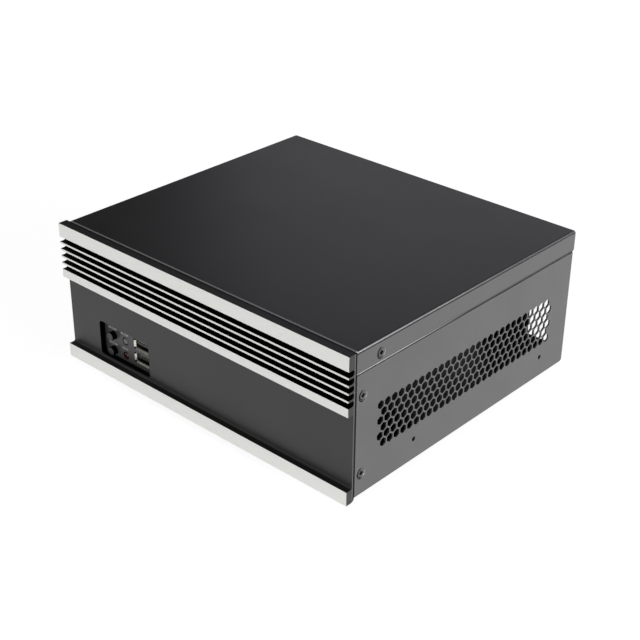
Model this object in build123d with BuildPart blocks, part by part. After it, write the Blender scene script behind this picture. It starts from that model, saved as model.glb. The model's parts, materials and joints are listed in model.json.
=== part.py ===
from build123d import *
import os
from math import sqrt

# Small desktop computer case for a mini-ITX board, with a finned aluminium front.
# Millimetres. X runs to the right seen from the front, Y to the rear, Z up.
# The origin is the centre of the footprint, on the surface under the feet.

# Overall size
case_width = 240.0
case_depth = 214.0
body_height = 92.4
foot_height = 5.0

# Steel sheet and its fits
sheet = 1.0
bend = 1.5
fit_gap = 0.1
flange = 14.0
rear_flange = 12.0

# Front panel extrusion
panel_drop = 1.5
panel_rise = 0.7
panel_base = 1.9
groove_depth = 4.5
top_band = 9.0
groove_width = 3.55
groove_count = 5
fin_width = 1.2
second_band = 5.5
lip_band = 9.1
lip_fillet = 1.2
heel_radius = 2.5
panel_gap = 1.2
body_inset = 0.7

# Window for the front controls, from the panel's left end and the floor's underside
window_width = 46.6
window_height = 24.0
window_corner = 2.5
window_inset = 50.7
window_z = 21.2
window_margin = 3.0

# Top cover
cover_gap = 0.6
cover_lip = 13.5
cover_bend = 1.6
cover_round = 0.4
cover_corner = 3.5
rear_step = 0.4

# Side panels
joggle_height = 0.8
top_flange = 8.0
return_width = 7.9
side_corner = 3.0

# Honeycomb vent in each side panel
vent_pitch = 5.91
vent_flats = 4.9
vent_start = 28.0
vent_end = 18.0
vent_low = 25.6
vent_high = 33.0

# Plain holes low in each side panel
side_hole_radius = 1.5
side_hole_low = 13.9
side_hole_first = 58.7
side_hole_last = 28.9

# Board bay
board_side = 170.0
board_thickness = 1.57
standoff_height = 6.35
standoff_flats = 5.5
standoff_bore = 1.25
stud_radius = 1.9
stud_length = 0.9
board_hole_inset = 6.35
board_hole_width = 157.48
board_row_rear = 10.16
board_row_slot = 33.02
board_row_front = 165.1
board_clearance = 1.0
board_left_gap = 3.5

# Rear openings
port_width = 158.75
port_height = 44.45
port_below_board = 3.8
port_corner = 1.0
supply_width = 40.5
supply_height = 81.5
supply_length = 150.0
supply_play = 0.5
supply_rim_left = 16.3
supply_rim_right = 5.5
supply_rim_low = 7.5
supply_rim_high = 3.5
supply_corner = 2.0
supply_hole_radius = 1.8
supply_hole_inset = 3.0
supply_hole_spacing = 50.0
slot_width = 4.0
slot_height = 22.0
slot_pitch = 12.0
slot_rise = 5.0

# Countersunk and pan-head screws
screw_radius = 1.5
sunk_radius = 2.8
sunk_ring = 0.35
sunk_drop = 0.15
recess_length = 2.4
recess_width = 0.6
recess_depth = 1.1
pan_radius = 2.8
pan_height = 1.8
screw_length = 5.0
front_screw_back = 13.0
front_screw_low = 13.7
front_screw_drop = 28.4
cover_screw_back = 27.1
cover_screw_drop = 8.0
rear_screw_inset = 4.0
rear_screw_low = 15.0
rear_screw_drop = 27.4
panel_screw_inset = 11.0
panel_screw_depth = 4.0

# Drive bracket
drive_bracket_width = 84.0
drive_bracket_inset = 56.1
drive_bracket_drop = 26.0
drive_hole_width = 61.72
drive_hole_length = 76.6
drive_screw_x = 30.0

# Power supply stop
stop_height = 25.0
stop_foot = 12.0
stop_screw_x = 12.0

# Front controls, across from the window's middle and up from the floor's underside
bracket_recess = 2.6
bracket_ear = 7.0
bracket_margin = 2.2
bracket_screw_z = 9.0
button_offset = -15.4
button_upper = 23.5
button_lower = 12.7
button_radius = 2.9
button_proud = 3.4
button_round = 0.5
button_collar = 3.8
button_collar_depth = 1.1
button_stem = 1.6
button_travel = 1.2
button_gap = 0.15
lamp_offset = -4.2
lamp_upper = 23.1
lamp_lower = 12.9
lamp_radius = 2.4
lamp_proud = 0.3
lamp_gap = 0.35
lamp_flange = 2.9
lamp_flange_depth = 1.0
lamp_lead = 0.5
lamp_lead_pitch = 1.27
switch_size = 6.0
switch_height = 3.5
circuit_board = 1.6
switch_board_width = 26.0
switch_board_height = 23.0
switch_board_offset = -11.1
spacer_radius = 2.0
spacer_offset = -9.2
spacer_low = 10.4
spacer_high = 27.9
small_screw_radius = 1.0
small_head_radius = 1.9
small_head_height = 1.2
small_screw_length = 4.0

# Double USB type A socket
usb_offset = 11.45
usb_low = 12.3
usb_width = 14.5
usb_height = 15.8
usb_depth = 17.0
usb_proud = 0.1
usb_flare = 1.0
usb_rim = 0.05
usb_corner = 0.3
usb_opening_width = 12.5
usb_opening_height = 5.12
usb_wall = 0.5
usb_body = 3.5
usb_tongue = 1.84
usb_tongue_width = 11.1
usb_tongue_back = 1.4
usb_tongue_top = 0.7
usb_board_width = 17.0
usb_board_depth = 28.0
shelf_boss = 1.7
shelf_boss_radius = 2.2
shelf_boss_inset = 3.0

# Pin headers
pin_pitch = 2.54
pin_size = 0.64
pin_length = 6.0
header_height = 2.5
header_columns = 5

# Feet
foot_radius = 9.0
foot_base_radius = 8.5
foot_inset_x = 22.0
foot_inset_y = 24.0
foot_recess_radius = 4.2
foot_recess_depth = 2.6

# Levels
floor_under = foot_height
floor_top = floor_under + sheet
cover_top = floor_under + body_height
cover_under = cover_top - sheet
side_top = cover_under - fit_gap
plate_top = side_top - sheet - fit_gap
lip_bottom = cover_top - cover_lip
joggle_top = lip_bottom - fit_gap
joggle_low = joggle_top - joggle_height
panel_bottom = floor_under - panel_drop
panel_top = cover_top + panel_rise
fins_bottom = panel_top - top_band - groove_count * groove_width - (groove_count - 1) * fin_width
recess_top = fins_bottom - second_band
lip_top = panel_bottom + lip_band

# Half widths
cover_half = case_width / 2 - body_inset
side_half = cover_half - fit_gap
side_inner = side_half - sheet
inner_half = side_inner - fit_gap
joggle_half = cover_half - sheet - fit_gap
joggle_inner = joggle_half - sheet

# Depths
front_y = -case_depth / 2
recess_y = front_y + groove_depth
panel_back = recess_y + panel_base
plate_back = panel_back + sheet
cover_front = panel_back + cover_gap
side_front = panel_back + panel_gap
cover_back = case_depth / 2
side_back = cover_back - sheet - rear_step
rear_outer = side_back - sheet
rear_inner = rear_outer - sheet

# Places across
window_x = -case_width / 2 + window_inset
button_x = window_x + button_offset
lamp_x = window_x + lamp_offset
usb_x = window_x + usb_offset
spacer_x = window_x + spacer_offset
switch_board_x = window_x + switch_board_offset
drive_bracket_x = -inner_half + drive_bracket_inset
cover_screw_x = case_width / 4


def facing_front(y):
    """Plane at depth y whose normal points to the front: sketch x is X and sketch y is Z."""
    return Plane.XZ.offset(-y)


def outward(x, y, z, normal):
    """Plane at a point of an outer face, with its normal pointing out."""
    return Plane(origin=(x, y, z), z_dir=normal)


def bent_sheet(points, radius=bend):
    """Section of one sheet that follows the points with its thickness on their left."""
    with BuildLine() as outline:
        FilletPolyline(*points, radius=radius)
        offset(amount=sheet, side=Side.LEFT)
    make_face(outline.line.edges())


def folded_plate(face_y, direction, fold):
    """Upright sheet between the side panels, with its four edges folded back."""
    width = 2 * inner_half
    upper_width = 2 * (joggle_inner - fit_gap)
    upper_bottom = joggle_low - sheet
    bottom = floor_top
    top = plate_top
    middle = (bottom + top) / 2
    with BuildSketch(facing_front(face_y)) as face:
        with Locations((0, middle)):
            Rectangle(width, top - bottom)
    extrude(face.sketch, amount=-direction * fold)
    fillet(faces().sort_by(Axis.Y)[0 if direction > 0 else -1].edges(), bend)
    offset(amount=-sheet, openings=faces().sort_by(Axis.Y)[-1 if direction > 0 else 0])
    # The corners are open where the flanges meet
    with BuildSketch(facing_front(face_y + direction * bend)) as corners:
        with Locations(*[(side * width / 2, z) for side in (-1, 1) for z in (bottom, top)]):
            Rectangle(4 * sheet, 4 * sheet)
    extrude(corners.sketch, amount=-direction * fold, mode=Mode.SUBTRACT)
    # The upper part clears the joggled edge of the side panels
    with BuildSketch(facing_front(face_y)) as shoulders:
        with Locations(*[(side * width / 2, (upper_bottom + top) / 2) for side in (-1, 1)]):
            Rectangle(width - upper_width, top - upper_bottom)
    extrude(shoulders.sketch, amount=-direction * fold, mode=Mode.SUBTRACT)


def holes(planes, radius, depth):
    """Round holes that run inwards from each plane."""
    with Locations(*planes):
        Cylinder(radius, depth, align=(Align.CENTER, Align.CENTER, Align.MAX), mode=Mode.SUBTRACT)


def sunk_holes(planes):
    """Holes dimpled for countersunk screws, through one sheet."""
    with Locations(*planes):
        Cone(
            screw_radius + fit_gap,
            sunk_radius + sunk_ring,
            sheet,
            align=(Align.CENTER, Align.CENTER, Align.MAX),
            mode=Mode.SUBTRACT,
        )


def sunk_screws(planes, length=screw_length):
    """Countersunk screws whose heads lie just under each plane, with a cross recess."""
    below = (Align.CENTER, Align.CENTER, Align.MAX)
    with Locations(*[plane.offset(-sunk_drop) for plane in planes]):
        Cone(screw_radius, sunk_radius, sheet - sunk_drop, align=below)
        Cylinder(screw_radius, length - sunk_drop, align=below)
        Box(recess_length, recess_width, recess_depth, align=below, mode=Mode.SUBTRACT)
        Box(recess_width, recess_length, recess_depth, align=below, mode=Mode.SUBTRACT)


def pan_screws(planes, length=screw_length):
    """Pan-head screws whose heads sit on each plane."""
    with Locations(*planes):
        Cylinder(pan_radius, pan_height, align=(Align.CENTER, Align.CENTER, Align.MIN))
        Cylinder(screw_radius, length, align=(Align.CENTER, Align.CENTER, Align.MAX))


def small_screws(planes, length=small_screw_length):
    """Small screws for the circuit boards."""
    with Locations(*planes):
        Cylinder(small_head_radius, small_head_height, align=(Align.CENTER, Align.CENTER, Align.MIN))
        Cylinder(small_screw_radius, length, align=(Align.CENTER, Align.CENTER, Align.MAX))


# Places of the screws
front_screw_planes = [
    outward(side * side_half, front_y + front_screw_back, floor_under + z, (side, 0, 0))
    for side in (-1, 1)
    for z in (front_screw_low, body_height - front_screw_drop)
]
cover_side_planes = [
    outward(side * cover_half, front_y + cover_screw_back, cover_top - cover_screw_drop, (side, 0, 0))
    for side in (-1, 1)
]
cover_rear_planes = [
    outward(side * cover_screw_x, cover_back, cover_top - cover_screw_drop, (0, 1, 0))
    for side in (-1, 1)
]
rear_screw_planes = [
    outward(side * (side_half - rear_screw_inset), side_back, floor_under + z, (0, 1, 0))
    for side in (-1, 1)
    for z in (rear_screw_low, body_height - rear_screw_drop)
]
panel_screw_high = recess_top + second_band / 2
panel_screw_low = floor_top + bend + pan_radius + fit_gap
panel_screw_planes = [
    outward(side * (case_width / 2 - panel_screw_inset), plate_back, z, (0, 1, 0))
    for side in (-1, 1)
    for z in (panel_screw_low, panel_screw_high)
]
supply_x = joggle_inner - supply_play - supply_width / 2
supply_low = floor_top + sheet + supply_play
stop_y = rear_inner - supply_length - supply_play
base_screw_planes = [
    outward(x, y, floor_under, (0, 0, -1))
    for x, y in (
        (-cover_screw_x, panel_back + flange / 2),
        (cover_screw_x, panel_back + flange / 2),
        (-cover_screw_x, rear_outer - rear_flange / 2),
        (cover_screw_x, rear_outer - rear_flange / 2),
        (supply_x - stop_screw_x, stop_y - stop_foot / 2),
        (supply_x + stop_screw_x, stop_y - stop_foot / 2),
    )
]

# Places of the board holes
board_left = -inner_half + board_left_gap
board_rear = rear_inner - board_clearance
board_hole_right = board_left + board_side - board_hole_inset
board_hole_left = board_hole_right - board_hole_width
standoff_places = [
    (board_hole_right, board_rear - board_row_rear),
    (board_hole_left, board_rear - board_row_slot),
    (board_hole_right, board_rear - board_row_front),
    (board_hole_left, board_rear - board_row_front),
]
foot_places = {
    "foot_front_left": (-case_width / 2 + foot_inset_x, front_y + foot_inset_y),
    "foot_front_right": (case_width / 2 - foot_inset_x, front_y + foot_inset_y),
    "foot_rear_left": (-case_width / 2 + foot_inset_x, cover_back - foot_inset_y),
    "foot_rear_right": (case_width / 2 - foot_inset_x, cover_back - foot_inset_y),
}

# Front panel: one extrusion with fins across its upper half and a window cut low on the left
groove_levels = [
    panel_top - top_band - groove_width / 2 - index * (groove_width + fin_width)
    for index in range(groove_count)
]
with BuildPart() as front_panel:
    with BuildSketch(Plane.YZ.offset(-case_width / 2)) as panel_section:
        with BuildLine():
            Polyline(
                (front_y, panel_bottom),
                (panel_back, panel_bottom),
                (panel_back, panel_top),
                (front_y, panel_top),
                (front_y, recess_top),
                (recess_y, recess_top),
                (recess_y, lip_top),
                (front_y, lip_top),
                close=True,
            )
        make_face()
        corners = panel_section.vertices()
        fillet(corners.sort_by_distance((recess_y, lip_top))[0], lip_fillet)
        fillet(panel_section.vertices().sort_by_distance((recess_y, recess_top))[0], lip_fillet / 2)
        fillet(panel_section.vertices().sort_by_distance((panel_back, panel_bottom))[0], heel_radius)
        with Locations(*[(front_y, z) for z in groove_levels]):
            SlotOverall(2 * groove_depth, groove_width, mode=Mode.SUBTRACT)
    extrude(amount=case_width)
    with BuildSketch(facing_front(panel_back)):
        with Locations((window_x, floor_under + window_z)):
            RectangleRounded(window_width, window_height, window_corner)
    extrude(amount=groove_depth + panel_base, mode=Mode.SUBTRACT)
    holes(
        [outward(plane.origin.X, panel_back, plane.origin.Z, (0, 1, 0)) for plane in panel_screw_planes],
        screw_radius + fit_gap,
        panel_screw_depth + fit_gap,
    )
front_panel.part.label = "front_panel"

# Front plate: steel wall behind the extrusion, fixed inside the side panels
bracket_ear_x = window_width / 2 + window_margin + bracket_margin + bracket_ear / 2
bracket_screw_planes = [
    outward(window_x + side * bracket_ear_x, plate_back + sheet, floor_under + window_z + z, (0, 1, 0))
    for side in (-1, 1)
    for z in (-bracket_screw_z, bracket_screw_z)
]
with BuildPart() as front_plate:
    folded_plate(panel_back, 1, flange)
    with BuildSketch(facing_front(plate_back)):
        with Locations((window_x, floor_under + window_z)):
            RectangleRounded(
                window_width + 2 * window_margin,
                window_height + 2 * window_margin,
                window_corner,
            )
    extrude(amount=sheet, mode=Mode.SUBTRACT)
    holes(panel_screw_planes, screw_radius + fit_gap, sheet)
    holes(
        [plane.offset(-sheet - fit_gap) for plane in front_screw_planes],
        screw_radius + fit_gap,
        2 * sheet,
    )
    holes([plane.offset(-sheet) for plane in base_screw_planes[:2]], screw_radius + fit_gap, sheet)
    holes([plane.offset(-sheet) for plane in bracket_screw_planes], screw_radius + fit_gap, sheet)
    holes(
        [
            outward(drive_bracket_x + side * drive_screw_x, panel_back + flange / 2, plate_top, (0, 0, 1))
            for side in (-1, 1)
        ],
        screw_radius + fit_gap,
        sheet,
    )
front_plate.part.label = "front_plate"

# Rear panel: the board's port opening, the power supply opening and exhaust slots
port_right = board_left + board_side
port_low = floor_top + standoff_height + board_thickness - port_below_board
supply_middle = supply_low + supply_height / 2
supply_open_width = supply_width - supply_rim_left - supply_rim_right
supply_open_height = supply_height - supply_rim_low - supply_rim_high
supply_open_x = supply_x + (supply_rim_left - supply_rim_right) / 2
supply_open_z = supply_middle + (supply_rim_low - supply_rim_high) / 2
slot_count = int((port_width - slot_pitch) / slot_pitch)
slot_middle = port_low + port_height + slot_rise + slot_height / 2
supply_hole_planes = [
    outward(supply_x - supply_width / 2 + supply_hole_inset, rear_outer, supply_middle + z, (0, 1, 0))
    for z in (-supply_hole_spacing / 2, supply_hole_spacing / 2)
]
with BuildPart() as rear_panel:
    folded_plate(rear_outer, -1, rear_flange)
    # Notch in the lower flange round the rear standoff
    with BuildSketch(Plane.XY.offset(floor_top)):
        with Locations(standoff_places[0]):
            Circle(standoff_flats)
    extrude(amount=sheet, mode=Mode.SUBTRACT)
    with BuildSketch(facing_front(rear_inner)):
        with Locations((port_right - port_width / 2, port_low + port_height / 2)):
            RectangleRounded(port_width, port_height, port_corner)
        with Locations((supply_open_x, supply_open_z)):
            RectangleRounded(supply_open_width, supply_open_height, supply_corner)
        with Locations((port_right - port_width / 2, slot_middle)):
            with GridLocations(slot_pitch, 1, slot_count, 1):
                SlotOverall(slot_height, slot_width, rotation=90)
    extrude(amount=-sheet, mode=Mode.SUBTRACT)
    with Locations(*[plane.offset(-sheet - fit_gap) for plane in cover_rear_planes]):
        Cylinder(
            sunk_radius,
            cover_back - sheet - fit_gap - rear_outer,
            align=(Align.CENTER, Align.CENTER, Align.MAX),
        )
    holes(cover_rear_planes, screw_radius + fit_gap, screw_length)
    holes([plane.offset(-sheet) for plane in rear_screw_planes], screw_radius + fit_gap, sheet)
    holes(supply_hole_planes, supply_hole_radius, sheet)
    holes([plane.offset(-sheet) for plane in base_screw_planes[2:4]], screw_radius + fit_gap, sheet)
    holes(
        [
            outward(drive_bracket_x + side * drive_screw_x, rear_outer - rear_flange / 2, plate_top, (0, 0, 1))
            for side in (-1, 1)
        ],
        screw_radius + fit_gap,
        sheet,
    )
rear_panel.part.label = "rear_panel"

# Base tray: floor with low flanges inside the side panels
tray_flange = side_hole_low + 5.0
with BuildPart() as base_tray:
    with BuildSketch(facing_front(rear_outer)):
        bent_sheet(
            [
                (-inner_half, floor_under + tray_flange),
                (-inner_half, floor_under),
                (inner_half, floor_under),
                (inner_half, floor_under + tray_flange),
            ],
        )
    extrude(amount=rear_outer - side_front)
    # The side flanges stop short of the folded plates at both ends
    with BuildSketch(Plane.XY.offset(floor_top)):
        with Locations((0, panel_back)):
            Rectangle(2 * side_half, flange + sheet, align=(Align.CENTER, Align.MIN))
        with Locations((0, rear_outer)):
            Rectangle(2 * side_half, rear_flange + sheet, align=(Align.CENTER, Align.MAX))
    extrude(amount=tray_flange, mode=Mode.SUBTRACT)
    sunk_holes(base_screw_planes)
    holes(
        [outward(x, y, floor_top, (0, 0, 1)) for x, y in standoff_places],
        stud_radius + fit_gap / 2,
        sheet,
    )
    holes(
        [outward(x, y, floor_top, (0, 0, 1)) for x, y in foot_places.values()],
        screw_radius + fit_gap,
        sheet,
    )
    holes(
        [
            outward(side * inner_half, front_y + y, floor_under + side_hole_low, (side, 0, 0))
            for side in (-1, 1)
            for y in (side_hole_first, case_depth - side_hole_last)
        ],
        side_hole_radius,
        2 * sheet,
    )
base_tray.part.label = "base_tray"

# Side panels: joggled at the top under the cover's lip, folded in at the rear, vented
vent_row_pitch = vent_pitch * sqrt(3) / 2
vent_columns = int((case_depth - vent_start - vent_end) / vent_pitch)
vent_rows = int((body_height - vent_low - vent_high) / vent_row_pitch)
vent_places = [
    (
        front_y + vent_start + (column + row % 2 / 2) * vent_pitch,
        floor_under + vent_low + (vent_rows - 1 - row) * vent_row_pitch,
    )
    for row in range(vent_rows)
    for column in range(vent_columns)
]
with BuildPart() as side_panel_right:
    with BuildSketch(facing_front(side_back)):
        bent_sheet(
            [
                (side_half, floor_under),
                (side_half, joggle_low),
                (joggle_half, joggle_top),
                (joggle_half, side_top),
                (joggle_half - top_flange, side_top),
            ],
            sheet * 1.2,
        )
    extrude(amount=side_back - side_front)
    with BuildSketch(facing_front(side_back)):
        with Locations((side_half, floor_under)):
            Rectangle(return_width, joggle_low - floor_under - sheet, align=(Align.MAX, Align.MIN))
    extrude(amount=sheet)
    outer_corner = edges().filter_by(Axis.Z).sort_by_distance((side_half, side_back, floor_under))[0]
    fillet(outer_corner, bend / 2)
    with BuildSketch(Plane.YZ.offset(side_half)):
        with Locations((side_back, floor_under)):
            Rectangle(side_corner, side_corner, align=(Align.MAX, Align.MIN))
        with Locations((side_back - side_corner, floor_under + side_corner)):
            Circle(side_corner, mode=Mode.SUBTRACT)
    extrude(amount=-return_width, mode=Mode.SUBTRACT)
    with BuildSketch(Plane.YZ.offset(side_half)):
        with Locations(*vent_places):
            RegularPolygon(vent_flats / 2, 6, major_radius=False, rotation=30)
    extrude(amount=-sheet, mode=Mode.SUBTRACT)
    sunk_holes(front_screw_planes[2:])
    holes([plane.offset(-sheet - fit_gap) for plane in cover_side_planes[1:]], screw_radius + fit_gap, sheet)
    sunk_holes(rear_screw_planes[2:])
    holes(
        [
            outward(side_half, front_y + y, floor_under + side_hole_low, (1, 0, 0))
            for y in (side_hole_first, case_depth - side_hole_last)
        ],
        side_hole_radius,
        sheet,
    )
side_panel_right.part.label = "side_panel_right"

with BuildPart() as side_panel_left:
    mirror(side_panel_right.part, about=Plane.YZ)
side_panel_left.part.label = "side_panel_left"

# Top cover: folded lid with lips down both sides and the rear
with BuildPart() as top_cover:
    with BuildSketch(Plane.XY.offset(lip_bottom)):
        with Locations((0, (cover_front + cover_back) / 2)):
            Rectangle(2 * cover_half, cover_back - cover_front)
    extrude(amount=cover_lip)
    fillet(edges().filter_by(Axis.Z).group_by(Axis.Y)[-1], cover_bend)
    rims = faces().sort_by(Axis.Z)[-1].edges().sort_by(Axis.Y)[1:]
    fillet(rims, cover_bend)
    offset(amount=-sheet, openings=[faces().sort_by(Axis.Z)[0], faces().sort_by(Axis.Y)[0]])
    front_edges = edges().group_by(Axis.Y)[0]
    fillet(front_edges.filter_by(Axis.X).sort_by(Axis.Z)[-1], cover_round)
    with BuildSketch(Plane.YZ.offset(-cover_half)):
        with Locations((cover_back, lip_bottom)):
            Rectangle(cover_corner, cover_corner, align=(Align.MAX, Align.MIN))
        with Locations((cover_back - cover_corner, lip_bottom + cover_corner)):
            Circle(cover_corner, mode=Mode.SUBTRACT)
    extrude(amount=2 * cover_half, mode=Mode.SUBTRACT)
    sunk_holes(cover_side_planes + cover_rear_planes)
top_cover.part.label = "top_cover"

# Drive bracket: bridge from the front plate to the rear panel over the board
tab_top = plate_top + sheet
drive_level = plate_top - drive_bracket_drop
bracket_front = panel_back + flange + 2 * fit_gap
bracket_rear = rear_outer - rear_flange - 2 * fit_gap
with BuildPart() as drive_bracket:
    with BuildSketch(Plane.YZ.offset(drive_bracket_x - drive_bracket_width / 2)):
        bent_sheet(
            [
                (rear_inner - sheet, tab_top),
                (bracket_rear - sheet, tab_top),
                (bracket_rear - sheet, drive_level),
                (bracket_front + sheet, drive_level),
                (bracket_front + sheet, tab_top),
                (plate_back + sheet, tab_top),
            ],
            sheet * 1.2,
        )
    extrude(amount=drive_bracket_width)
    drive_middle = (bracket_front + bracket_rear) / 2
    with BuildSketch(Plane.XY.offset(drive_level - 2 * sheet)):
        with Locations((drive_bracket_x, drive_middle)):
            with GridLocations(drive_hole_width, drive_hole_length, 2, 2):
                Circle(screw_radius + fit_gap)
    extrude(amount=3 * sheet, mode=Mode.SUBTRACT)
    drive_screw_planes = [
        outward(drive_bracket_x + side * drive_screw_x, y, tab_top, (0, 0, 1))
        for side in (-1, 1)
        for y in (panel_back + flange / 2, rear_outer - rear_flange / 2)
    ]
    sunk_holes(drive_screw_planes)
drive_bracket.part.label = "drive_bracket"

# Power supply stop: angle on the floor at the inner end of the supply's bay
with BuildPart() as psu_bracket:
    with BuildSketch(Plane.YZ.offset(supply_x - supply_width / 2)):
        bent_sheet(
            [
                (stop_y - stop_foot, floor_top),
                (stop_y, floor_top),
                (stop_y, floor_top + stop_height),
            ],
        )
    extrude(amount=supply_width)
    holes(
        [plane.offset(-sheet) for plane in base_screw_planes[4:]],
        screw_radius + fit_gap,
        sheet,
    )
psu_bracket.part.label = "psu_bracket"

# Standoffs for the board, pressed into the floor
with BuildPart() as standoffs:
    with BuildSketch(Plane.XY.offset(floor_top)):
        with Locations(*standoff_places):
            RegularPolygon(standoff_flats / 2, 6, major_radius=False)
    extrude(amount=standoff_height)
    with BuildSketch(Plane.XY.offset(floor_top)):
        with Locations(*standoff_places):
            Circle(stud_radius)
    extrude(amount=-stud_length)
    with BuildSketch(Plane.XY.offset(floor_top + standoff_height)):
        with Locations(*standoff_places):
            Circle(standoff_bore)
    extrude(amount=-standoff_height, mode=Mode.SUBTRACT)
standoffs.part.label = "standoffs"

# Dished bracket behind the window, with a shelf for the socket's board
face_front = plate_back + bracket_recess - sheet
face_back = face_front + sheet
dish_half = window_width / 2 + window_margin
bracket_half = dish_half + bracket_margin + bracket_ear
bracket_height = window_height + 2 * window_margin + 1.5
shelf_top = floor_under + usb_low - circuit_board - shelf_boss
button_levels = {"power": button_upper, "reset": button_lower}
lamp_levels = {"power_led": lamp_upper, "drive_led": lamp_lower}
mouth_width = usb_opening_width + 2 * usb_flare + 2 * usb_rim
mouth_height = usb_opening_height + 2 * usb_flare + 2 * usb_rim
usb_z = floor_under + usb_low
usb_levels = [
    usb_z + usb_wall + usb_opening_height / 2,
    usb_z + usb_height - usb_wall - usb_opening_height / 2,
]
usb_board_front = face_back + 2 * fit_gap
usb_board_back = usb_board_front + usb_board_depth
with BuildPart() as io_bracket:
    with BuildSketch(Plane.XY.offset(floor_under + window_z - bracket_height / 2)):
        bent_sheet(
            [
                (window_x + bracket_half, plate_back + sheet),
                (window_x + dish_half, plate_back + sheet),
                (window_x + dish_half - bracket_margin, face_back),
                (window_x - dish_half + bracket_margin, face_back),
                (window_x - dish_half, plate_back + sheet),
                (window_x - bracket_half, plate_back + sheet),
            ],
            sheet,
        )
    extrude(amount=bracket_height)
    # Shelf folded back from the lower edge
    with BuildSketch(Plane.XY.offset(shelf_top)):
        with Locations((usb_x, face_front)):
            Rectangle(usb_board_width, usb_board_back - face_front, align=(Align.CENTER, Align.MIN))
    extrude(amount=-sheet)
    boss_places = [
        (usb_x + side * (usb_board_width / 2 - shelf_boss_inset), usb_board_back - shelf_boss_inset)
        for side in (-1, 1)
    ]
    with BuildSketch(Plane.XY.offset(shelf_top)):
        with Locations(*boss_places):
            Circle(shelf_boss_radius)
    extrude(amount=shelf_boss)
    with BuildSketch(facing_front(face_back)):
        with Locations(*[(usb_x, z) for z in usb_levels]):
            Rectangle(mouth_width + 2 * fit_gap, mouth_height + 2 * fit_gap)
        with Locations(*[(button_x, floor_under + z) for z in button_levels.values()]):
            Circle(button_radius + button_gap)
        with Locations(*[(lamp_x, floor_under + z) for z in lamp_levels.values()]):
            Circle(lamp_radius + lamp_gap)
    extrude(amount=sheet, mode=Mode.SUBTRACT)
    holes(bracket_screw_planes, screw_radius + fit_gap, sheet)
    holes(
        [outward(x, y, shelf_top + shelf_boss, (0, 0, 1)) for x, y in boss_places],
        small_screw_radius + fit_gap / 2,
        shelf_boss + sheet,
    )
io_bracket.part.label = "io_bracket"

# Push buttons: cap, collar behind the bracket and stem into the switch
collar_front = face_back + button_gap
stem_start = collar_front + button_collar_depth
switch_front = stem_start + button_travel + button_gap
switch_back = switch_front + switch_height
stem_end = switch_front + switch_height / 2
buttons = {}
switches = {}
for name, level in button_levels.items():
    with BuildPart() as button:
        with BuildSketch(facing_front(collar_front)):
            with Locations((button_x, floor_under + level)):
                Circle(button_radius)
        extrude(amount=collar_front - face_front + button_proud)
        fillet(faces().sort_by(Axis.Y)[0].edges(), button_round)
        with BuildSketch(facing_front(stem_start)):
            with Locations((button_x, floor_under + level)):
                Circle(button_collar)
        extrude(amount=button_collar_depth)
        with BuildSketch(facing_front(stem_end)):
            with Locations((button_x, floor_under + level)):
                Circle(button_stem)
        extrude(amount=stem_end - stem_start)
    button.part.label = name + "_button"
    buttons[name] = button
    with BuildPart() as switch:
        with BuildSketch(facing_front(switch_back)):
            with Locations((button_x, floor_under + level)):
                Rectangle(switch_size, switch_size)
        extrude(amount=switch_height)
        with BuildSketch(facing_front(switch_front)):
            with Locations((button_x, floor_under + level)):
                Circle(button_stem + button_gap)
        extrude(amount=-(stem_end - switch_front + button_travel + button_gap), mode=Mode.SUBTRACT)
    switch.part.label = name + "_switch"
    switches[name] = switch

# Lamps: domed lens, flange behind the bracket and two leads to the board
lamps = {}
for name, level in lamp_levels.items():
    with BuildPart() as lamp:
        with BuildSketch(facing_front(collar_front + lamp_flange_depth)):
            with Locations((lamp_x, floor_under + level)):
                Circle(lamp_flange)
        extrude(amount=lamp_flange_depth)
        with BuildSketch(facing_front(collar_front)):
            with Locations((lamp_x, floor_under + level)):
                Circle(lamp_radius)
        extrude(amount=collar_front - face_front + lamp_proud)
        fillet(faces().sort_by(Axis.Y)[0].edges(), lamp_radius / 2)
        with BuildSketch(facing_front(switch_back)):
            with Locations(*[(lamp_x + side * lamp_lead_pitch, floor_under + level) for side in (-1, 1)]):
                Rectangle(lamp_lead, lamp_lead)
        extrude(amount=switch_back - collar_front - lamp_flange_depth)
    lamp.part.label = name
    lamps[name] = lamp

# Board behind the buttons, on two spacers
spacer_places = [(spacer_x, floor_under + z) for z in (spacer_low, spacer_high)]
with BuildPart() as board_spacers:
    with BuildSketch(facing_front(switch_back)):
        with Locations(*spacer_places):
            Circle(spacer_radius)
            Circle(small_screw_radius + fit_gap / 2, mode=Mode.SUBTRACT)
    extrude(amount=switch_back - face_back)
board_spacers.part.label = "board_spacers"

switch_board_z = floor_under + (spacer_low + spacer_high) / 2
with BuildPart() as switch_board:
    with BuildSketch(facing_front(switch_back + circuit_board)):
        with Locations((switch_board_x, switch_board_z)):
            Rectangle(switch_board_width, switch_board_height)
        with Locations(*spacer_places):
            Circle(small_screw_radius + fit_gap, mode=Mode.SUBTRACT)
    extrude(amount=circuit_board)
switch_board.part.label = "switch_board"

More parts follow.
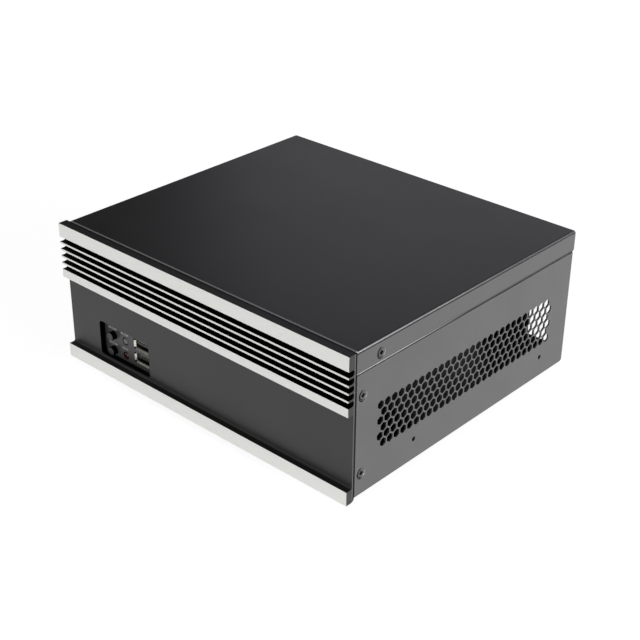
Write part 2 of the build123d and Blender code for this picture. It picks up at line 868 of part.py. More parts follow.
# Double socket: metal shell, moulded body with two tongues, and its board
usb_front = face_front - usb_proud
usb_shell_back = usb_front + usb_depth - usb_body
usb_body_front = face_back + fit_gap
usb_middle_height = usb_height - 4 * usb_wall - 2 * usb_opening_height
with BuildPart() as usb_shell:
    with BuildSketch(facing_front(usb_shell_back)):
        with Locations((usb_x, usb_z + usb_height / 2)):
            Rectangle(usb_width, usb_height)
    extrude(amount=usb_shell_back - usb_body_front)
    # The two mouths stand in the bracket's cut-outs and flare open, with their corners cut out
    with BuildSketch(facing_front(usb_body_front)):
        with Locations(*[(usb_x, z) for z in usb_levels]):
            Rectangle(mouth_width, usb_opening_height - 2 * usb_corner)
            Rectangle(usb_opening_width - 2 * usb_corner, mouth_height)
    extrude(amount=usb_body_front - usb_front)
    with BuildSketch(facing_front(usb_front)):
        with Locations(*[(usb_x, z) for z in usb_levels]):
            Rectangle(usb_opening_width + 2 * usb_flare, usb_opening_height + 2 * usb_flare)
    extrude(amount=-usb_flare, taper=45, mode=Mode.SUBTRACT)
    with BuildSketch(facing_front(usb_shell_back)):
        with Locations(*[(usb_x, z) for z in usb_levels]):
            Rectangle(usb_opening_width, usb_opening_height)
    extrude(amount=usb_shell_back - usb_front, mode=Mode.SUBTRACT)
    with BuildSketch(facing_front(usb_shell_back)):
        with Locations((usb_x, usb_z + usb_height / 2)):
            Rectangle(usb_opening_width, usb_middle_height)
    extrude(amount=usb_shell_back - usb_body_front - usb_wall, mode=Mode.SUBTRACT)
usb_shell.part.label = "usb_shell"

with BuildPart() as usb_insulator:
    with BuildSketch(facing_front(usb_front + usb_depth)):
        with Locations((usb_x, usb_z + usb_height / 2)):
            Rectangle(usb_width - 2 * usb_wall, usb_height - usb_wall, align=(Align.CENTER, Align.CENTER))
    extrude(amount=usb_body)
    with BuildSketch(facing_front(usb_shell_back)):
        with Locations(
            *[(usb_x, z + usb_opening_height / 2 - usb_tongue_top - usb_tongue / 2) for z in usb_levels]
        ):
            Rectangle(usb_tongue_width, usb_tongue)
    extrude(amount=usb_shell_back - usb_front - usb_tongue_back)
usb_insulator.part.label = "usb_insulator"

with BuildPart() as usb_board:
    with BuildSketch(Plane.XY.offset(usb_z - circuit_board)):
        with Locations((usb_x, usb_board_front)):
            Rectangle(usb_board_width, usb_board_depth, align=(Align.CENTER, Align.MIN))
        with Locations(*boss_places):
            Circle(small_screw_radius + fit_gap, mode=Mode.SUBTRACT)
    extrude(amount=circuit_board)
usb_board.part.label = "usb_board"

# Pin headers on both boards
header_width = header_columns * pin_pitch
usb_header_y = (usb_front + usb_depth + usb_board_back - 2 * shelf_boss_inset) / 2
with BuildPart() as usb_header:
    with BuildSketch(Plane.XY.offset(usb_z)):
        with Locations((usb_x, usb_header_y)):
            Rectangle(header_width, 2 * pin_pitch)
            with GridLocations(pin_pitch, pin_pitch, header_columns, 2):
                Rectangle(pin_size, pin_size, mode=Mode.SUBTRACT)
    extrude(amount=header_height)
usb_header.part.label = "usb_header"

with BuildPart() as usb_pins:
    with BuildSketch(Plane.XY.offset(usb_z)):
        with Locations((usb_x, usb_header_y)):
            with GridLocations(pin_pitch, pin_pitch, header_columns, 2):
                Rectangle(pin_size, pin_size)
    extrude(amount=header_height + pin_length)
usb_pins.part.label = "usb_pins"

switch_header_back = switch_back + circuit_board
with BuildPart() as switch_header:
    with BuildSketch(facing_front(switch_header_back + header_height)):
        with Locations((button_x, switch_board_z)):
            Rectangle(2 * pin_pitch, header_width)
            with GridLocations(pin_pitch, pin_pitch, 2, header_columns):
                Rectangle(pin_size, pin_size, mode=Mode.SUBTRACT)
    extrude(amount=header_height)
switch_header.part.label = "switch_header"

with BuildPart() as switch_pins:
    with BuildSketch(facing_front(switch_header_back)):
        with Locations((button_x, switch_board_z)):
            with GridLocations(pin_pitch, pin_pitch, 2, header_columns):
                Rectangle(pin_size, pin_size)
    extrude(amount=-header_height - pin_length)
switch_pins.part.label = "switch_pins"

# Feet: tapered rubber with a recess for the screw's head
feet = {}
for name, (x, y) in foot_places.items():
    with BuildPart() as foot:
        with Locations((x, y, foot_height)):
            Cone(
                foot_base_radius,
                foot_radius,
                foot_height,
                align=(Align.CENTER, Align.CENTER, Align.MAX),
            )
        with BuildSketch(Plane.XY):
            with Locations((x, y)):
                Circle(foot_recess_radius)
        extrude(amount=foot_recess_depth, mode=Mode.SUBTRACT)
        with BuildSketch(Plane.XY):
            with Locations((x, y)):
                Circle(screw_radius + fit_gap)
        extrude(amount=foot_height, mode=Mode.SUBTRACT)
    foot.part.label = name
    feet[name] = foot

# Fasteners, each kind as one group
with BuildPart() as side_screws:
    sunk_screws(front_screw_planes)
side_screws.part.label = "side_screws"

with BuildPart() as cover_screws:
    sunk_screws(cover_side_planes + cover_rear_planes)
cover_screws.part.label = "cover_screws"

with BuildPart() as rear_screws:
    sunk_screws(rear_screw_planes, 2 * sheet + 2 * fit_gap)
rear_screws.part.label = "rear_screws"

with BuildPart() as panel_screws:
    pan_screws(panel_screw_planes, sheet + panel_screw_depth)
panel_screws.part.label = "panel_screws"

with BuildPart() as base_screws:
    sunk_screws(base_screw_planes, 3 * sheet)
base_screws.part.label = "base_screws"

with BuildPart() as bracket_screws:
    pan_screws(bracket_screw_planes, 2 * sheet)
bracket_screws.part.label = "bracket_screws"

with BuildPart() as drive_screws:
    sunk_screws(drive_screw_planes, 4 * sheet)
drive_screws.part.label = "drive_screws"

with BuildPart() as foot_screws:
    pan_screws(
        [outward(x, y, foot_recess_depth, (0, 0, -1)) for x, y in foot_places.values()],
        foot_height - foot_recess_depth + 2 * sheet,
    )
foot_screws.part.label = "foot_screws"

with BuildPart() as board_screws:
    small_screws(
        [outward(x, switch_header_back, z, (0, 1, 0)) for x, z in spacer_places]
        + [outward(x, y, usb_z, (0, 0, 1)) for x, y in boss_places]
    )
board_screws.part.label = "board_screws"

pieces = [
    front_panel,
    front_plate,
    rear_panel,
    base_tray,
    side_panel_right,
    side_panel_left,
    top_cover,
    drive_bracket,
    psu_bracket,
    standoffs,
    io_bracket,
    board_spacers,
    switch_board,
    usb_shell,
    usb_insulator,
    usb_board,
    usb_header,
    usb_pins,
    switch_header,
    switch_pins,
    side_screws,
    cover_screws,
    rear_screws,
    panel_screws,
    base_screws,
    bracket_screws,
    drive_screws,
    foot_screws,
    board_screws,
    *buttons.values(),
    *switches.values(),
    *lamps.values(),
    *feet.values(),
]
os.makedirs("parts", exist_ok=True)
for piece in pieces:
    export_step(piece.part, "parts/" + piece.part.label + ".step")
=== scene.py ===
import json
import math
import bpy
from mathutils import Matrix, Vector


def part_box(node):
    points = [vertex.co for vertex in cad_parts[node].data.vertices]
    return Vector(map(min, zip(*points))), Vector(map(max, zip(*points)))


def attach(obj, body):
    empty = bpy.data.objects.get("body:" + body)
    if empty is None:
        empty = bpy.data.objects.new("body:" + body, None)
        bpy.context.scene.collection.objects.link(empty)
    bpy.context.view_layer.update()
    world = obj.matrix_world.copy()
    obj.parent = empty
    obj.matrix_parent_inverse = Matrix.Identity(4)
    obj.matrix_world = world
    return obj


# Desktop computer case for a mini-ITX board: materials, small marks, studio floor, lights and camera.
# Metres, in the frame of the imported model: X to the right, Y to the rear, Z up.

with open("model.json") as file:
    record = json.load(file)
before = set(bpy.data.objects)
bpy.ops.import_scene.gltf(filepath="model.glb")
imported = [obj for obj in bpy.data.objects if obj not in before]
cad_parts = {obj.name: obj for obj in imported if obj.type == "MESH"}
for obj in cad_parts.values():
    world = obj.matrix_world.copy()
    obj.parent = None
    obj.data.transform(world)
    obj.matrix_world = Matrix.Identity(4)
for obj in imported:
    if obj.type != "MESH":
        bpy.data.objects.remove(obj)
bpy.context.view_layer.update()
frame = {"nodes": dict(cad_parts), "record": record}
nodes = frame["nodes"]

MM = 0.001

# Camera at the photograph's viewing angle
CAMERA_PLACE = Vector((0.5047, -0.55458, 0.44517))
CAMERA_RIGHT = Vector((0.73811, 0.67463, 0.00842))
CAMERA_DOWN = Vector((0.33106, -0.35128, -0.87579))
CAMERA_LENS = 74.96
SENSOR_WIDTH = 36
NEAREST_SEEN = 0.01

# Colours of the materials
PAINT = (0.068, 0.068, 0.07)
INNER_PAINT = (0.012, 0.012, 0.013)
# Near-black paint on the front plate, darker than the inner steel: painted shade for the gap behind the
# front panel
PLATE_PAINT = (0.004, 0.004, 0.004)
SILVER_DARK = (0.78, 0.78, 0.755)
SILVER_LIGHT = (0.86, 0.86, 0.835)
ANODISED_DARK = (0.019, 0.019, 0.0195)
ANODISED_LIGHT = (0.026, 0.026, 0.0265)
INNER_ZINC = (0.15, 0.15, 0.152)
HEAD_ZINC = (0.125, 0.125, 0.127)
BRASS = (0.62, 0.44, 0.19)
GOLD = (0.78, 0.56, 0.22)
TIN = (0.68, 0.66, 0.59)
PLASTIC = (0.008, 0.008, 0.0085)
RUBBER = (0.02, 0.02, 0.02)
CLEAR_LENS = (0.30, 0.31, 0.33)
RED_LENS = (0.075, 0.014, 0.012)
BOARD_DARK = (0.012, 0.075, 0.03)
BOARD_LIGHT = (0.014, 0.085, 0.036)
BOARD_TRACK = (0.03, 0.16, 0.07)
INK_DARK = (0.5, 0.5, 0.51)
INK_LIGHT = (0.64, 0.64, 0.65)
WHITE = (1, 1, 1)

# Painted light and shade: tones of edges, gaps and shaded faces, pale ones painted as highlights on bends
# and edges, dark ones painted as shade in gaps, creases, holes and shaded faces
# Painted highlight on the lid's top bends, strongest at the front and fading towards the rear
PALE_BEND = (0.52, 0.52, 0.525)
# Painted highlight along the lower edge of the lid's lip, near the front
PALE_LINE = (0.4, 0.4, 0.405)
# Painted highlight along the front edge of the lid's top
PAINTED_EDGE_HIGHLIGHT = (0.85, 0.85, 0.855)
# Painted highlight on the front-facing walls of screw holes
HOLE_RIM = (0.26, 0.26, 0.265)
# Painted shade: a dark line on the lid's top beside its side bends
UPPER_LINE = (0.018, 0.018, 0.018)
# Painted shade: a dark line under the lid's top bends and in the crease under its lip
DARK_LINE = (0.005, 0.005, 0.005)
# Painted shade in gaps, grooves, holes and shaded walls
DEEP_BLACK = (0.002, 0.002, 0.002)
# Painted shade along the lower edge of the lid's lip, towards the rear
SHADED_EDGE = (0.019, 0.019, 0.019)
# Painted light on upward faces of the black front panel
UPPER_TONE = (0.042, 0.042, 0.042)
# Painted shade on the front of the panel's ends
END_FRONT = (0.006, 0.006, 0.006)
# Painted light on the panel's ends behind the fins
END_BASE = (0.06, 0.06, 0.061)

# Noise in the materials, in cells a metre, and how it lies along the axes
PAINT_GRAIN = 2600
PAINT_DRIFT = 34
METAL_MARKS = 900
METAL_DRIFT = 60
PLASTIC_GRAIN = 1800
PLASTIC_DRIFT = 90
BRUSHED_MARKS = 2300
ANODISED_GRAIN = 2400
ANODISED_DRIFT = 26
LENS_CLOUD = 700
BOARD_CLOUD = 150
BOARD_TRACKS = 320
TRACK_GAP = 0.12
INK_CLOUD = 3000
EVEN = (1, 1, 1)
DRAWN_INWARDS = (1, 0.1, 1)
BRUSHED_ACROSS = (0.07, 1, 0.8)

# Roughness of the surfaces, and the height of their relief
LID_SHEEN = 0.34
SIDE_SHEEN = 0.36
INNER_SHEEN = 0.45
PLATE_SHEEN = 0.6
ZINC_SHEEN = 0.4
BRASS_SHEEN = 0.3
GOLD_SHEEN = 0.25
TIN_SHEEN = 0.26
PLASTIC_SHEEN = 0.42
RUBBER_SHEEN = 0.75
INK_SHEEN = 0.6
LENS_SHEEN = (0.12, 0.2)
BOARD_SHEEN = (0.3, 0.4)
ANODISED_SHEEN = (0.42, 0.5)
BRUSHED_SHEEN = (0.38, 0.46)
BRUSHED_METALLIC = 0.72
LENS_IOR = 1.5
CLEAR_PASSES = 0.35
RED_PASSES = 0.2
PAINT_RELIEF = 0.06 * MM
PLASTIC_RELIEF = 0.03 * MM
METAL_RELIEF = 0.02 * MM

# Extent of the machined silver and of the painted light and shade on the front panel, from its front face,
# top or ends
BRIGHT_DEPTH = 0.04 * MM
PANEL_RELIEF = 4.5 * MM
END_INSET = 0.5 * MM
WINDOW_INSET = 2 * MM
GROOVES_START = 8.95 * MM
GROOVES_END = 31.6 * MM
GROOVES_FRONT = 0.2 * MM
SEAM_LINE = 1.1 * MM

# Extent of the painted highlights and shade on the lid, from its top, sides, front or lower edge
LID_BEND = 0.6 * MM
BEND_START = 2.3 * MM
BEND_EDGE = 1.5 * MM
EDGE_LINE = 0.8 * MM
LID_HOLES = 4.0 * MM
LIP_LINE = 0.45 * MM
LIP_SHADE = 1.1 * MM
FRONT_LINE = 1.7 * MM
LIP_LINE_FADES = (40 * MM, 96 * MM)
BEND_FADES = (0, 140 * MM)
BEND_REMAINS = 0.25

# Screw heads in the sides, and the painted shade of their cross and of the arc round them
HEAD_RADIUS = 2.8 * MM
HEAD_FACE = 0.5 * MM
CROSS = (1.5 * MM, 0.7 * MM)
ARC = (2.3 * MM, 3.8 * MM)
ARC_FRONT = -0.4 * MM

# How far a face turns before it counts as facing one way, and a bend as turned
HALF_TURNED = 0.5
NEARLY_FLAT = 0.9
PARTLY_UPWARD = 0.7
TOWARDS_FRONT = -0.3
SLOPING = 0.2
TIP_FACE = -0.8
BEND_TURNS = (0.28, 0.46)
CORNERS = (("X", "Z"), ("Y", "Z"), ("X", "Y"))

# Marks beside the controls, from the middle of a control or symbol
MARK_DEPTH = 1.6 * MM
MARK_THICKNESS = 0.015 * MM
BUTTON_MARK_SHIFT = 0.9 * MM
BUTTON_MARK_RISE = 4.6 * MM
LAMP_MARK_SHIFT = 0.6 * MM
LAMP_MARK_RISE = 4.8 * MM
TICK = (0.62 * MM, 1.4 * MM)
BUTTON_TICKS = (1.75 * MM, 2.7 * MM, 3.65 * MM)
LAMP_TICKS = (1.7 * MM, 2.45 * MM, 3.2 * MM)
DRIVE_TICKS = (2.2 * MM,)
STROKE = 0.3 * MM
RING_RADIUS = 0.72 * MM
RING_PARTS = 14
POWER_RING = (125, 415)
POWER_STROKE_RISE = 0.55 * MM
POWER_STROKE_HEIGHT = 0.8 * MM
RESET_RING = (60, 340)
ARROW = ((0.2 * MM, 0.35 * MM), (0.95 * MM, 0.35 * MM), (0.7 * MM, 1.15 * MM))
BULB_RADIUS = 0.5 * MM
BULB_PARTS = 12
RAY_REACH = (0.8 * MM, 1.2 * MM)
RAY_HALF_WIDTH = 0.12 * MM
RAY_COUNT = 6
DRIVE_LEVELS = (-0.45 * MM, 0, 0.45 * MM)
DRIVE_BAR = (2.6 * MM, 0.28 * MM)

# Contacts under the tongues of the double socket
SHELL_MARGIN = 1.05 * MM
MOUTH_HEIGHT = 5.12 * MM
TONGUE_ABOVE = 0.7 * MM
TONGUE_THICKNESS = 1.84 * MM
CONTACT_START = 1.6 * MM
CONTACT_LENGTH = 7.0 * MM
CONTACT = (1.0 * MM, 0.2 * MM)
CONTACT_PLACES = (-3.5 * MM, -1.0 * MM, 1.0 * MM, 3.5 * MM)

# Studio: half the side of the floor, its glow near and far from the case, and place, size, watts and tint of
# each lamp
FLOOR_REACH = 6.0
FLOOR_PAINT = (0.72, 0.72, 0.72)
FLOOR_GLOW = (0.885, 1.0)
GLOW_GROWS = (1.2, 2.4)
ROOM_TONE = (0.025, 0.025, 0.026)
LAMP_TARGET = (0, 0, 0.05)
LAMPS = {
    "right_key": ((4.0, 0.4, 0.24), (3.0, 0.4), 200, WHITE),
    "front_fill": ((0.8, -3.4, 0.3), (5.0, 0.5), 44, WHITE),
    "left_fill": ((-3.4, 0.2, 0.25), (2.0, 0.4), 50, WHITE),
    "rear_fill": ((0.6, 3.4, 0.2), (2.0, 0.4), 50, WHITE),
    "front_left_overhead": ((-1.3, -1.06, 1.43), (0.8, 0.8), 0.6, WHITE),
    "rear_sheen": ((-0.87, 1.79, 0.93), (1.7, 0.86), 2.7, (0.93, 0.92, 1.0)),
}


# Shader nodes

def fill(tree, node, sockets):
    """Sets a node's sockets to numbers and colours, or links them to the results of other nodes."""
    for key, value in sockets.items():
        socket = node.inputs[key]
        if isinstance(value, bpy.types.NodeSocket):
            tree.links.new(value, socket)
        elif socket.type == "RGBA":
            socket.default_value = (*value, 1)
        else:
            socket.default_value = value
    return node


def add_node(tree, kind, sockets):
    """A new shader node with its sockets filled."""
    return fill(tree, tree.nodes.new("ShaderNode" + kind), sockets)


def calc(tree, operation, *values):
    """The result of a math node on numbers and sockets."""
    node = add_node(tree, "Math", dict(enumerate(values)))
    node.operation = operation
    return node.outputs["Value"]


def above(tree, value, limit):
    """One where the value is greater than the limit."""
    return calc(tree, "GREATER_THAN", value, limit)


def below(tree, value, limit):
    """One where the value is less than the limit."""
    return calc(tree, "LESS_THAN", value, limit)


def band(tree, value, low, high):
    """One where the value lies between low and high."""
    return calc(tree, "COMPARE", value, (low + high) / 2, (high - low) / 2)


def outside(tree, mask):
    """One where the mask is zero."""
    return calc(tree, "SUBTRACT", 1.0, mask)


def common(tree, *masks):
    """What all the masks share."""
    result = masks[0]
    for mask in masks[1:]:
        result = calc(tree, "MULTIPLY", result, mask)
    return result


def split(tree, kind, absolute=False):
    """X, Y and Z of where a point of the object is, or of which way its surface faces."""
    vector = tree.nodes.new("ShaderNodeTexCoord").outputs[kind]
    if absolute:
        size = add_node(tree, "VectorMath", {0: vector})
        size.operation = "ABSOLUTE"
        vector = size.outputs["Vector"]
    return add_node(tree, "SeparateXYZ", {"Vector": vector}).outputs


def facing_sideways(tree, limit=HALF_TURNED):
    """One where the surface faces left or right."""
    return above(tree, split(tree, "Normal", absolute=True)["X"], limit)


def facing_front(tree):
    """One where the surface turns towards the front."""
    return below(tree, split(tree, "Normal")["Y"], TOWARDS_FRONT)


def bend_mask(tree, pairs):
    """One where the surface turns between a pair of axes, on bends and edges, and zero on flat faces."""
    size = split(tree, "Normal", absolute=True)
    largest = 0.0
    for first, second in pairs:
        largest = calc(tree, "MAXIMUM", calc(tree, "MULTIPLY", size[first], size[second]), largest)
    return spread(tree, largest, 0, 1, BEND_TURNS)


def spread(tree, value, low, high, source=(0.3, 0.7)):
    """Turns a value within the source's range into one between low and high."""
    node = add_node(tree, "MapRange", {
        "From Min": source[0],
        "From Max": source[1],
        "To Min": low,
        "To Max": high,
        "Value": value,
    })
    return node.outputs["Result"]


def noise(tree, place, scale, detail=2.0, stretch=EVEN, roughness=0.5):
    """Noise of so many cells a metre, stretched along the axes."""
    mapping = add_node(tree, "Mapping", {"Scale": stretch, "Vector": place})
    texture = add_node(tree, "TexNoise", {
        "Scale": scale,
        "Detail": detail,
        "Roughness": roughness,
        "Vector": mapping.outputs["Vector"],
    })
    return texture.outputs["Fac"]


def blend_colours(tree, factor, first, second):
    """A mix of two colours, each written as three numbers or taken from a socket."""
    node = tree.nodes.new("ShaderNodeMix")
    node.data_type = "RGBA"
    fill(tree, node, {"Factor": factor, 6: first, 7: second})
    return node.outputs[2]


def blend_numbers(tree, factor, first, second):
    """A mix of two numbers."""
    return add_node(tree, "Mix", {"Factor": factor, 2: first, 3: second}).outputs[0]


def two_tones(tree, value, colour, down, up):
    """A colour that moves with a noise between a darker and a lighter tone."""
    dark = tuple(c * down for c in colour)
    light = tuple(min(1, c * up) for c in colour)
    return blend_colours(tree, spread(tree, value, 0, 1), dark, light)


def bump(tree, shader, height, strength, distance):
    """Fine relief on the surface."""
    node = add_node(tree, "Bump", {"Strength": strength, "Distance": distance, "Height": height})
    tree.links.new(node.outputs["Normal"], shader.inputs["Normal"])


def lay_over(tree, tone, layers):
    """Lays masks and colours over a tone, the last on top."""
    for mask, colour in layers:
        tone = blend_colours(tree, mask, tone, colour)
    return tone


def lying_deep(tree, layers):
    """One where deep black lies on top, so that the painted shade there also loses its gloss."""
    deep = 0.0
    for mask, colour in layers:
        if colour is DEEP_BLACK:
            deep = calc(tree, "MAXIMUM", deep, mask)
        else:
            deep = common(tree, deep, outside(tree, mask))
    return deep


def dress(tree, shader, tone, layers):
    """Gives a surface its tone, with layers of painted light and shade over it where it has them."""
    if layers:
        laid = layers(tree)
        tone = lay_over(tree, tone, laid)
        tree.links.new(lying_deep(tree, laid), shader.inputs["Metallic"])
    tree.links.new(tone, shader.inputs["Base Color"])


# Materials

def new_material(name):
    """A node material with its shader, and the coordinates of the object in metres."""
    material = bpy.data.materials.new(name)
    material.use_nodes = True
    tree = material.node_tree
    shader = tree.nodes["Principled BSDF"]
    place = tree.nodes.new("ShaderNodeTexCoord")
    return material, tree, shader, place.outputs["Object"]


def powder_coat(name, colour, gloss, drift=1.0, layers=None):
    """Sprayed powder paint: fine orange peel, slow changes of tone and sheen, and layers of painted light
    and shade over it.
    """
    material, tree, shader, place = new_material(name)
    fine = noise(tree, place, PAINT_GRAIN)
    slow = noise(tree, place, PAINT_DRIFT, detail=3.0)
    toned = two_tones(tree, slow, colour, down=1 - 0.1 * drift, up=1 + 0.12 * drift)
    speckle = tuple(c * 1.5 for c in colour)
    coat = blend_colours(tree, spread(tree, fine, 0, 0.35), toned, speckle)
    dress(tree, shader, coat, layers)
    sheen = spread(tree, slow, gloss - 0.04 * drift, gloss + 0.04 * drift)
    tree.links.new(sheen, shader.inputs["Roughness"])
    bump(tree, shader, fine, strength=0.35, distance=PAINT_RELIEF)
    return material


def metal(name, colour, roughness, stretch=EVEN, layers=None):
    """Bare or plated metal with drawn or brushed marks."""
    material, tree, shader, place = new_material(name)
    shader.inputs["Metallic"].default_value = 1
    marks = noise(tree, place, METAL_MARKS, detail=4.0, stretch=stretch, roughness=0.65)
    slow = noise(tree, place, METAL_DRIFT)
    tone = two_tones(tree, marks, colour, down=0.86, up=1.08)
    if layers:
        tone = lay_over(tree, tone, layers(tree))
    tree.links.new(tone, shader.inputs["Base Color"])
    tree.links.new(spread(tree, slow, roughness - 0.05, roughness + 0.06), shader.inputs["Roughness"])
    bump(tree, shader, marks, strength=0.3, distance=METAL_RELIEF)
    return material


def moulding(name, colour, roughness, layers=None):
    """Moulded plastic or rubber with a fine spark texture."""
    material, tree, shader, place = new_material(name)
    fine = noise(tree, place, PLASTIC_GRAIN)
    slow = noise(tree, place, PLASTIC_DRIFT)
    dress(tree, shader, two_tones(tree, slow, colour, down=0.85, up=1.15), layers)
    tree.links.new(spread(tree, slow, roughness - 0.05, roughness + 0.05), shader.inputs["Roughness"])
    bump(tree, shader, fine, strength=0.3, distance=PLASTIC_RELIEF)
    return material


def lens(name, colour, transmission):
    """Tinted lamp lens: glossy moulded epoxy with a faint cloud."""
    material, tree, shader, place = new_material(name)
    cloud = noise(tree, place, LENS_CLOUD)
    tree.links.new(two_tones(tree, cloud, colour, down=0.8, up=1), shader.inputs["Base Color"])
    tree.links.new(spread(tree, cloud, *LENS_SHEEN), shader.inputs["Roughness"])
    shader.inputs["Transmission Weight"].default_value = transmission
    shader.inputs["IOR"].default_value = LENS_IOR
    return material


def circuit_material():
    """Green solder mask over copper tracks."""
    material, tree, shader, place = new_material("circuit_green")
    tracks = add_node(tree, "TexBrick", {
        "Scale": BOARD_TRACKS,
        "Mortar Size": TRACK_GAP,
        "Color1": BOARD_DARK,
        "Color2": BOARD_LIGHT,
        "Mortar": BOARD_TRACK,
        "Vector": place,
    })
    tree.links.new(tracks.outputs["Color"], shader.inputs["Base Color"])
    cloud = noise(tree, place, BOARD_CLOUD)
    tree.links.new(spread(tree, cloud, *BOARD_SHEEN), shader.inputs["Roughness"])
    bump(tree, shader, tracks.outputs["Fac"], strength=0.2, distance=METAL_RELIEF)
    return material


def ink_material():
    """Pale printing ink."""
    material, tree, shader, place = new_material("pale_ink")
    cloud = spread(tree, noise(tree, place, INK_CLOUD), 0, 1)
    tree.links.new(blend_colours(tree, cloud, INK_DARK, INK_LIGHT), shader.inputs["Base Color"])
    shader.inputs["Roughness"].default_value = INK_SHEEN
    return material


def panel_material():
    """Black anodised extrusion whose front faces are machined bright, with fine marks along them; painted
    light on its upward faces and on its ends behind the fins, painted shade in its grooves, window walls,
    the front of its ends and its rear seam.
    """
    material, tree, shader, place = new_material("panel_black_and_bright")
    low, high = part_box("front_panel")
    where = split(tree, "Object")
    across = split(tree, "Object", absolute=True)["X"]
    sideways = facing_sideways(tree)
    upward = above(tree, split(tree, "Normal")["Z"], HALF_TURNED)
    bright = below(tree, where["Y"], low.y + BRIGHT_DEPTH)
    grooves = common(
        tree,
        band(tree, where["Z"], high.z - GROOVES_END, high.z - GROOVES_START),
        above(tree, where["Y"], low.y + GROOVES_FRONT),
    )
    end = common(tree, sideways, above(tree, across, high.x - END_INSET))
    base = common(tree, end, above(tree, where["Y"], low.y + PANEL_RELIEF))
    window = common(tree, sideways, below(tree, across, high.x - WINDOW_INSET))
    last = above(tree, where["Y"], high.y - SEAM_LINE)
    seam = common(tree, calc(tree, "MAXIMUM", end, upward), last)
    layers = [
        # Painted light on upward faces
        (upward, UPPER_TONE),
        # Painted shade in the grooves
        (grooves, DEEP_BLACK),
        # Painted shade on the front of the ends
        (end, END_FRONT),
        # Painted light on the ends behind the fins
        (base, END_BASE),
        # Painted shade on the walls of the window
        (window, DEEP_BLACK),
        # Painted shadow of the gap along the panel's rear edge
        (seam, DEEP_BLACK),
    ]
    marks = noise(tree, place, BRUSHED_MARKS, detail=4.0, stretch=BRUSHED_ACROSS, roughness=0.6)
    slow = noise(tree, place, ANODISED_DRIFT)
    fine = noise(tree, place, ANODISED_GRAIN)
    silver = blend_colours(tree, spread(tree, marks, 0, 1), SILVER_DARK, SILVER_LIGHT)
    black = blend_colours(tree, spread(tree, slow, 0, 1), ANODISED_DARK, ANODISED_LIGHT)
    tone = blend_colours(tree, bright, lay_over(tree, black, layers), silver)
    metallic = spread(tree, bright, 0, BRUSHED_METALLIC, (0, 1))
    satin = spread(tree, slow, *ANODISED_SHEEN)
    brushed = spread(tree, marks, *BRUSHED_SHEEN)
    tree.links.new(tone, shader.inputs["Base Color"])
    tree.links.new(calc(tree, "MAXIMUM", metallic, lying_deep(tree, layers)), shader.inputs["Metallic"])
    tree.links.new(blend_numbers(tree, bright, satin, brushed), shader.inputs["Roughness"])
    relief = blend_numbers(tree, bright, fine, marks)
    bump(tree, shader, relief, strength=0.15, distance=METAL_RELIEF)
    return material


# Layers of painted light and shade on the nodes, each a mask with its colour

def round_screws(tree, node):
    """Masks for painted shade round a node's screws in the sides: over and around their cross recess, and a
    shaded arc painted round the front of their heads.
    """
    low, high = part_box(node)
    where = split(tree, "Object")
    middle = (low.z + high.z) / 2
    rows = (high.z - low.z) / 2 - HEAD_RADIUS
    along = calc(tree, "SUBTRACT", where["Y"], low.y + HEAD_RADIUS)
    up = calc(tree, "SUBTRACT", calc(tree, "ABSOLUTE", calc(tree, "SUBTRACT", where["Z"], middle)), rows)
    squares = calc(tree, "ADD", calc(tree, "POWER", along, 2.0), calc(tree, "POWER", up, 2.0))
    ring = band(tree, calc(tree, "SQRT", squares), *ARC)
    arc = common(tree, ring, below(tree, along, ARC_FRONT), facing_sideways(tree, NEARLY_FLAT))
    arms = [
        common(tree, band(tree, along, -wide, wide), band(tree, up, -tall, tall))
        for wide, tall in (CROSS, CROSS[::-1])
    ]
    return calc(tree, "MAXIMUM", *arms), arc


def lid_layers(tree):
    """Painted highlights on the lid's bends and edges, painted shade in dark lines beside them, in the holes
    of the lid's screws and in an arc round their heads, and a painted highlight on the holes' front-facing
    walls.
    """
    low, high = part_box("top_cover")
    where = split(tree, "Object")
    across = split(tree, "Object", absolute=True)["X"]
    rise = split(tree, "Normal", absolute=True)["Z"]
    sideways = facing_sideways(tree)
    turned = bend_mask(tree, CORNERS)
    hole = common(tree, turned, below(tree, where["Z"], high.z - LID_HOLES))
    bend = common(tree, turned, above(tree, where["Z"], high.z - LID_BEND))
    bend_highlight_fade = spread(tree, where["Y"], 1, BEND_REMAINS, tuple(low.y + y for y in BEND_FADES))
    upper_line = band(tree, across, high.x - BEND_START, high.x - BEND_EDGE)
    lower_line = band(tree, where["Z"], high.z - LID_BEND - EDGE_LINE, high.z - LID_BEND)
    fore = spread(tree, where["Y"], 1, 0, tuple(low.y + y for y in LIP_LINE_FADES))
    lip_line = common(tree, sideways, below(tree, where["Z"], low.z + LIP_LINE), fore)
    lip_shade = common(tree, sideways, below(tree, where["Z"], low.z + LIP_SHADE), outside(tree, fore))
    front_edge = common(tree, above(tree, rise, NEARLY_FLAT), below(tree, where["Y"], low.y + FRONT_LINE))
    return [
        # Painted shade beside the side bends on the top
        (common(tree, upper_line, above(tree, rise, PARTLY_UPWARD)), UPPER_LINE),
        # Painted highlight along the lid's top bends
        (common(tree, bend, bend_highlight_fade), PALE_BEND),
        # Painted shade: a dark line on the sides under the top bends
        (common(tree, sideways, lower_line), DARK_LINE),
        # Painted shade along the lower edge of the lip, towards the rear
        (lip_shade, SHADED_EDGE),
        # Painted highlight along the lower edge of the lip, near the front
        (lip_line, PALE_LINE),
        # Painted highlight along the front edge of the top
        (front_edge, PAINTED_EDGE_HIGHLIGHT),
        # Painted shade in the holes of the lid's screws
        (hole, DEEP_BLACK),
        # Painted highlight on the front-facing walls of those holes
        (common(tree, hole, facing_front(tree)), HOLE_RIM),
        # Painted shaded arc round the front of the screw heads
        (round_screws(tree, "cover_screws")[1], DEEP_BLACK),
    ]


